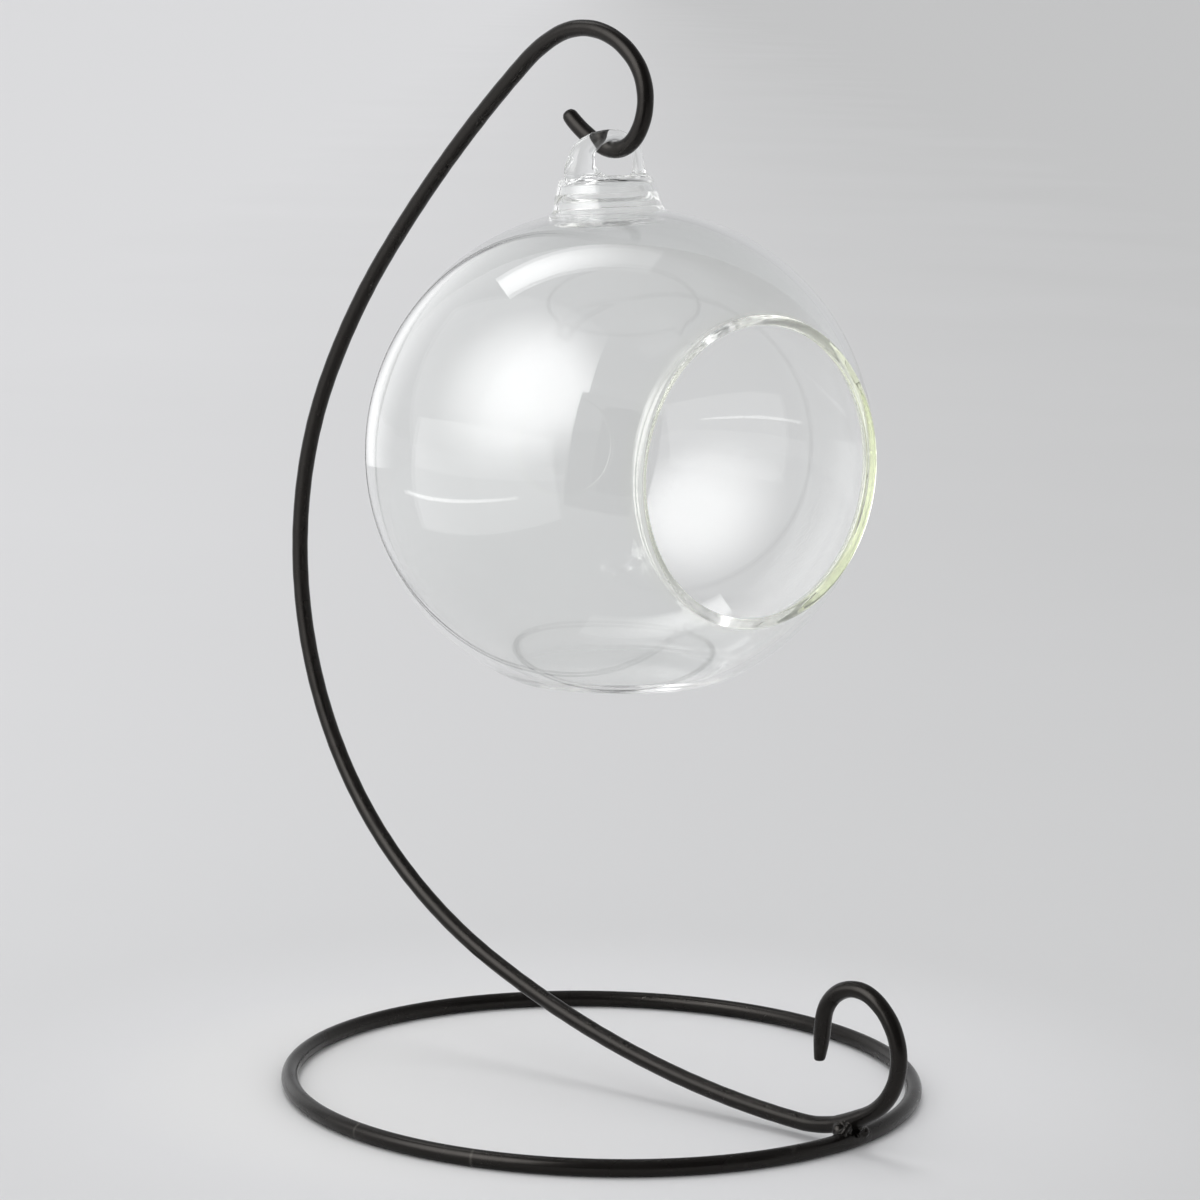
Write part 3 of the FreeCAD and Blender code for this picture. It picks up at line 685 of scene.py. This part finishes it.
PLUG_FOOT = (NECK_BASE[0] + 0.6, NECK_BASE[1] - 1.9)
PLUG_STEPS = 180
neck_plug = bmesh.new()
shoulder = [PLUG_FOOT] + arc(SHOULDER_CENTRE, SHOULDER_ROUNDING, math.degrees(cone_lean), 90, 8)
plug_rows = [turned_ring(neck_plug, globe_frame, radius, height, PLUG_STEPS) for radius, height in shoulder]
join_rings(neck_plug, plug_rows, capped=True)
for side, height, thickness in LEG_FOOT:
    bmesh.ops.create_uvsphere(neck_plug, u_segments=32, v_segments=18, radius=thickness * MM,
                              matrix=Matrix.Translation(eye_frame @ Vector((0, side, height))))
neck_plug.from_mesh(strand_mesh)
eye = melt_together(neck_plug, 0.2 * MM, 40)
neck_cut = globe_frame @ Vector((0, 0, NECK_CUT))
bmesh.ops.bisect_plane(eye, geom=eye.verts[:] + eye.edges[:] + eye.faces[:],
                       plane_co=neck_cut, plane_no=neck_way, dist=1e-7, clear_inner=True)

# The melted skin lies true on the neck's turned surface wherever it runs near it
TRUE_WITHIN = 0.03
SETTLE_REACH = 0.4
CUT_REACH = 1.5
FAR_OFFSET = 3
CUT_PLANE = NECK_CUT + 0.01


def neck_skin_offset(reach, height):
    """How far a point lies outside the neck's turned skin, and the skin's outward direction there."""
    from_centre = Vector((reach - SHOULDER_CENTRE[0], height - SHOULDER_CENTRE[1]))
    angle = math.atan2(from_centre.y, from_centre.x)
    if angle > math.pi / 2:
        return height - SHOULDER_HEIGHT, Vector((0, 1))
    if angle < cone_lean:
        outward = Vector((math.cos(cone_lean), math.sin(cone_lean)))
        return Vector((reach - NECK_BASE[0], height - NECK_BASE[1])).dot(outward), outward
    return from_centre.length - SHOULDER_ROUNDING, from_centre.normalized()


for corner in eye.verts:
    place = to_globe @ corner.co
    reach = math.hypot(place.x, place.y)
    if reach < 1e-3:
        continue
    offset, outward = neck_skin_offset(reach, place.z)
    kept = offset * ease((offset - TRUE_WITHIN) / SETTLE_REACH) * ease((place.z - NECK_CUT) / CUT_REACH)
    if offset > FAR_OFFSET or kept == offset:
        continue
    wider = (reach + outward.x * (kept - offset)) / reach
    rise = outward.y * (kept - offset) if place.z > CUT_PLANE else 0
    corner.co = globe_frame @ Vector((place.x * wider, place.y * wider, max(place.z + rise, NECK_CUT)))

eye_edge, eye_clock = round_order(open_edge(eye, neck_cut, neck_way, 2e-6), to_globe, 0, 1)
neck_edge, neck_clock = round_order(open_edge(glass, neck_cut, neck_way, 2e-6), to_globe, 0, 1)
copies = take_in(glass, eye)
zip_edges(glass, neck_edge, neck_clock, [copies[corner] for corner in eye_edge], eye_clock)

# The strand was pressed on while soft, which drew the neck's near side out towards the leg: height and depth
PRESS = [(54.5, 0.0), (60.0, 1.1), (68.5, 1.4), (74.5, 0.8), (78.5, 0.0)]
PRESS_FROM = 3
PRESS_RISE = 6
PRESS_EDGE = 22
PRESS_FADE = 8
for corner in glass.verts:
    place = to_globe @ corner.co
    aside = -(to_eye @ corner.co).y
    reach = math.hypot(place.x, place.y)
    if aside < PRESS_FROM or reach > PRESS_EDGE or not PRESS[0][0] < place.z < PRESS[-1][0]:
        continue
    for (low, less), (high, more) in zip(PRESS, PRESS[1:]):
        if low <= place.z <= high:
            press = less + (more - less) * ease((place.z - low) / (high - low))
    press *= ease((aside - PRESS_FROM) / PRESS_RISE) * ease((PRESS_EDGE - reach) / PRESS_FADE)
    corner.co -= eye_frame.to_3x3() @ Vector((0, press, 0))

clear_glass, tree, surface = new_material("clear_glass")
surface.inputs["Transmission Weight"].default_value = 1.0
surface.inputs["IOR"].default_value = 1.48
place = add_node(tree, "ShaderNodeTexCoord").outputs["Object"]
tint = add_node(tree, "ShaderNodeTexNoise", {"Vector": place}, Scale=18.0, Detail=2.0)
ramp = add_node(tree, "ShaderNodeValToRGB", {"Fac": tint.outputs["Fac"]})
ramp.color_ramp.elements[0].color = (0.985, 0.995, 0.985, 1)
ramp.color_ramp.elements[1].color = (0.998, 1.0, 0.998, 1)
# Painted reflection: near the rim, most on the side away from the softbox, the glass is tinted faintly yellow
# green in place of a coloured light seen along the rim
from_edge = reckon_vector(tree, "SUBTRACT", place, body_frame @ Vector((RIM_MIDDLE[0], 0, 0)))
depth = reckon_vector(tree, "DOT_PRODUCT", from_edge, mouth_way)
near_rim = rescale(tree, depth, -4.0 * MM, -1.5 * MM, 0.0, 0.85, kind="SMOOTHSTEP")
across = reckon_vector(tree, "DOT_PRODUCT", from_edge, body_frame.to_3x3() @ Vector((0, 1 / MM, 0)))
far_side = rescale(tree, across, -5.0 * MM, 30.0 * MM, 0.15, 1.0, kind="SMOOTHSTEP")
rim_painted_reflection_share = reckon(tree, "MULTIPLY", near_rim, far_side)
rim_painted_reflection_tone = blend(tree, rim_painted_reflection_share, ramp.outputs["Color"], (0.93, 0.98, 0.72, 1))
tree.links.new(rim_painted_reflection_tone, surface.inputs["Base Color"])
smear = add_node(tree, "ShaderNodeTexNoise", {"Vector": place}, Scale=55.0, Detail=3.0)
tree.links.new(rescale(tree, smear.outputs["Fac"], 0.5, 0.8, 0.0, 0.03), surface.inputs["Roughness"])
sway = add_node(tree, "ShaderNodeTexNoise", {"Vector": place}, Scale=26.0, Detail=1.0)
ripple = add_node(tree, "ShaderNodeBump", {"Height": sway.outputs["Fac"]}, Strength=0.2, Distance=1.0 * MM)
tree.links.new(ripple.outputs["Normal"], surface.inputs["Normal"])
blown_glass = finish_mesh("blown_glass", glass, clear_glass, "globe")
blown_glass.visible_shadow = False
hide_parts("glass_globe", "hanging_eye")

# Studio: a wide pale table, lit evenly from all round and softly from behind on the left. A large softbox,
# a strip overhead, the wall at the left, a low card and the table's edge show as reflections only.
camera_place = Vector((0.621714, -0.736928, 0.271020))
camera_right = Vector((0.76001856, 0.64955121, 0.02133099))
camera_up = Vector((-0.11794309, 0.1055758, 0.98739211))
camera_back = camera_right.cross(camera_up)
TABLE_RADIUS = 60.0
SHADE_REACH = 0.35
table = bmesh.new()
bmesh.ops.create_circle(table, cap_ends=True, radius=TABLE_RADIUS, segments=128)
floor = new_object("floor", table)
pale_table, tree, surface = new_material("pale_table")
surface.inputs["Roughness"].default_value = 0.85
surface.inputs["Specular IOR Level"].default_value = 0.1
# The table's colour holds painted light: it is lighter near the stand and to the left, and painted shade
# darkens it to the right, varied by a noise
place = add_node(tree, "ShaderNodeTexCoord").outputs["Object"]
shade_way = (camera_right.x / SHADE_REACH, camera_right.y / SHADE_REACH, 0)
aside = reckon_vector(tree, "DOT_PRODUCT", place, shade_way)
bend = reckon(tree, "ARCTANGENT", aside)
cloud = add_node(tree, "ShaderNodeTexNoise", {"Vector": place}, Scale=3.0, Detail=5.0)
drift = reckon(tree, "MULTIPLY_ADD", cloud.outputs["Fac"], bend, bend)
painted_light_near = rescale(tree, reckon_vector(tree, "LENGTH", place), 0.07, 0.17, 0.42, 0.0, kind="SMOOTHSTEP")
floor_painted_shade = reckon(tree, "SUBTRACT", rescale(tree, drift, -1.25, 1.55, 0.2), painted_light_near)
ramp = add_node(tree, "ShaderNodeValToRGB", {"Fac": floor_painted_shade})
ramp.color_ramp.elements[0].color = (0.81, 0.81, 0.81, 1)
ramp.color_ramp.elements[1].color = (0.57, 0.572, 0.576, 1)
ramp.color_ramp.elements.new(0.2).color = (0.735, 0.737, 0.75, 1)
tree.links.new(ramp.outputs["Color"], surface.inputs["Base Color"])
floor.data.materials.append(pale_table)

world = bpy.data.worlds.new("studio")
bpy.context.scene.world = world
world.use_nodes = True
tree = world.node_tree
tree.nodes.clear()
way = add_node(tree, "ShaderNodeTexCoord").outputs["Generated"]
height = add_node(tree, "ShaderNodeSeparateXYZ", {"Vector": way}).outputs["Z"]
dusk = rescale(tree, height, 0.15, 0.8, 1.0, 0.42, kind="SMOOTHSTEP")
sky = add_node(tree, "ShaderNodeBackground", {"Strength": dusk}, Color=(0.6, 0.605, 0.615, 1))
fill = add_node(tree, "ShaderNodeBackground", Color=(1, 1, 1, 1), Strength=0.84)
rays = add_node(tree, "ShaderNodeLightPath")
seen = reckon(tree, "MAXIMUM", rays.outputs["Is Camera Ray"], rays.outputs["Is Glossy Ray"])
shown = reckon(tree, "MAXIMUM", seen, rays.outputs["Is Transmission Ray"])
mix = add_node(tree, "ShaderNodeMixShader", {0: shown, 1: fill.outputs[0], 2: sky.outputs[0]})
add_node(tree, "ShaderNodeOutputWorld", {"Surface": mix.outputs[0]})

camera_data = bpy.data.cameras.new("camera")
camera_data.sensor_width = 36.0
camera_data.lens = 124.246
camera_data.clip_start = 0.01
camera_data.clip_end = 200.0
camera = bpy.data.objects.new("camera", camera_data)
camera_turn = Matrix((camera_right, camera_up, camera_back)).transposed().to_4x4()
camera.matrix_world = Matrix.Translation(camera_place) @ camera_turn
bpy.context.scene.collection.objects.link(camera)
bpy.context.scene.camera = camera

SUN_ROUND = math.radians(150)
SUN_HEIGHT = math.radians(66)
sun_data = bpy.data.lights.new("window_light", "SUN")
sun_data.energy = 0.5
sun_data.angle = math.radians(24)
sun = bpy.data.objects.new("window_light", sun_data)
sun_way = Vector((math.cos(SUN_ROUND) * math.cos(SUN_HEIGHT), math.sin(SUN_ROUND) * math.cos(SUN_HEIGHT),
                  math.sin(SUN_HEIGHT)))
sun.matrix_world = sun_way.to_track_quat("Z", "Y").to_matrix().to_4x4()
sun.visible_glossy = False
sun.visible_transmission = False
bpy.context.scene.collection.objects.link(sun)

globe_middle = globe_frame @ Vector((0, 0, 0))


def facing_globe(direction, distance):
    """Place and turn at a distance from the globe, in a direction of right, up and back of the view."""
    way = camera_right * direction[0] + camera_up * direction[1] + camera_back * direction[2]
    back = way.normalized()
    side = camera_up.cross(back).normalized()
    turn = Matrix((side, back.cross(side), back)).transposed().to_4x4()
    return Matrix.Translation(globe_middle + back * distance) @ turn


def shown_in_mirrors(tree):
    """A socket that is 0 for rays that only passed through glass, so that nothing shows behind the globe."""
    rays = add_node(tree, "ShaderNodeLightPath")
    passed = reckon(tree, "GREATER_THAN", rays.outputs["Transmission Depth"], 0.5)
    straight = reckon(tree, "LESS_THAN", rays.outputs["Glossy Depth"], 0.5)
    return reckon(tree, "SUBTRACT", 1.0, reckon(tree, "MULTIPLY", passed, straight))


def add_softbox(name, direction, distance, size, roll, radiance, spot, spot_size, least):
    """A rectangular lamp, seen only as a reflection and brightest round its spot.

    The spot is given as shares of the lamp's width and height, and least as the share of its brightness
    that is left far from the spot."""
    lamp_data = bpy.data.lights.new(name, "AREA")
    lamp_data.shape = "RECTANGLE"
    lamp_data.size, lamp_data.size_y = size
    lamp_data.energy = radiance * math.pi * size[0] * size[1]
    lamp_data.use_nodes = True
    tree = lamp_data.node_tree
    tree.nodes.clear()
    spread = add_node(tree, "ShaderNodeNewGeometry").outputs["Parametric"]
    offset = add_node(tree, "ShaderNodeMapping", vector_type="TEXTURE", inputs={
        "Vector": spread, "Location": (*spot, 0), "Scale": (*spot_size, 1)})
    far_off = reckon_vector(tree, "LENGTH", offset.outputs[0])
    glow = rescale(tree, far_off, 0.15, 1.0, 1.0, least, kind="SMOOTHSTEP")
    level = reckon(tree, "MULTIPLY", glow, shown_in_mirrors(tree))
    emission = add_node(tree, "ShaderNodeEmission", {"Strength": level}, Color=(1, 1, 1, 1))
    add_node(tree, "ShaderNodeOutputLight", {"Surface": emission.outputs[0]})
    lamp = bpy.data.objects.new(name, lamp_data)
    lamp.matrix_world = facing_globe(direction, distance) @ Matrix.Rotation(roll, 4, "Z")
    lamp.visible_camera = False
    lamp.visible_diffuse = False
    bpy.context.scene.collection.objects.link(lamp)


# Direction, distance, size, roll, radiance, spot, the spot's size, and the share left far from it
LAMPS = {
    "left_softbox": ((-0.833, 0.369, 0.421), 1.0, (2.0, 1.82), 0.175, 4.8, (0.715, 0.54), (0.54, 0.46), 0.07),
    "top_strip": ((-0.197, 0.96, -0.197), 1.0, (0.8, 0.3), 2.218, 3.0, (0.12, 0.45), (0.8, 0.9), 0.18),
    "left_wall": ((-0.57, 0.36, -0.73), 1.0, (0.8, 1.7), 0.0, 0.5, (0.5, 0.5), (0.62, 0.62), 0.0),
    "low_card": ((-0.871, -0.172, 0.46), 0.22, (0.31, 0.154), -0.11, 0.6, (0.5, 0.5), (3.0, 3.0), 0.5),
    "table_edge": ((-0.936, -0.275, 0.221), 0.3, (0.355, 0.006), -0.167, 2.2, (0.5, 0.5), (0.8, 3.0), 0.3),
}
for name, settings in LAMPS.items():
    add_softbox(name, *settings)

# The room behind the camera is dark, and so is the camera itself, and only reflections see them
dark_cloth, tree, surface = new_material("dark_cloth")
surface.inputs["Base Color"].default_value = (0.14, 0.14, 0.14, 1)
surface.inputs["Roughness"].default_value = 0.9
unseen = add_node(tree, "ShaderNodeBsdfTransparent")
cloth_mix = add_node(tree, "ShaderNodeMixShader",
                     {0: shown_in_mirrors(tree), 1: unseen.outputs[0], 2: surface.outputs[0]})
tree.links.new(cloth_mix.outputs[0], tree.nodes["Material Output"].inputs["Surface"])
# Direction, distance, roll, half of the width and of the height, and whether glass lets it be seen
CARDS = {
    "dark_room": ((0.25, 0.28, 0.93), 2.0, 0.0, (2.2, 1.5), False),
    "camera_card": ((-0.075, -0.034, 0.997), 0.25, -0.184, (0.071, 0.1115), True),
}
for name, (direction, distance, roll, half_size, through_glass) in CARDS.items():
    sheet = bmesh.new()
    bmesh.ops.create_grid(sheet, x_segments=1, y_segments=1, size=1.0)
    card = new_object(name, sheet)
    card.matrix_world = (facing_globe(direction, distance) @ Matrix.Rotation(roll, 4, "Z")
                         @ Matrix.Diagonal((*half_size, 1, 1)))
    card.visible_camera = False
    card.visible_diffuse = False
    card.visible_transmission = through_glass
    card.visible_shadow = False
    card.data.materials.append(dark_cloth)

# Light runs many times to and fro inside the thick rim and foot before it leaves them
LIGHT_TURNS = 320
bpy.context.scene.cycles.max_bounces = LIGHT_TURNS
bpy.context.scene.cycles.glossy_bounces = LIGHT_TURNS
bpy.context.scene.cycles.transmission_bounces = LIGHT_TURNS
bpy.context.scene.view_settings.view_transform = "Standard"
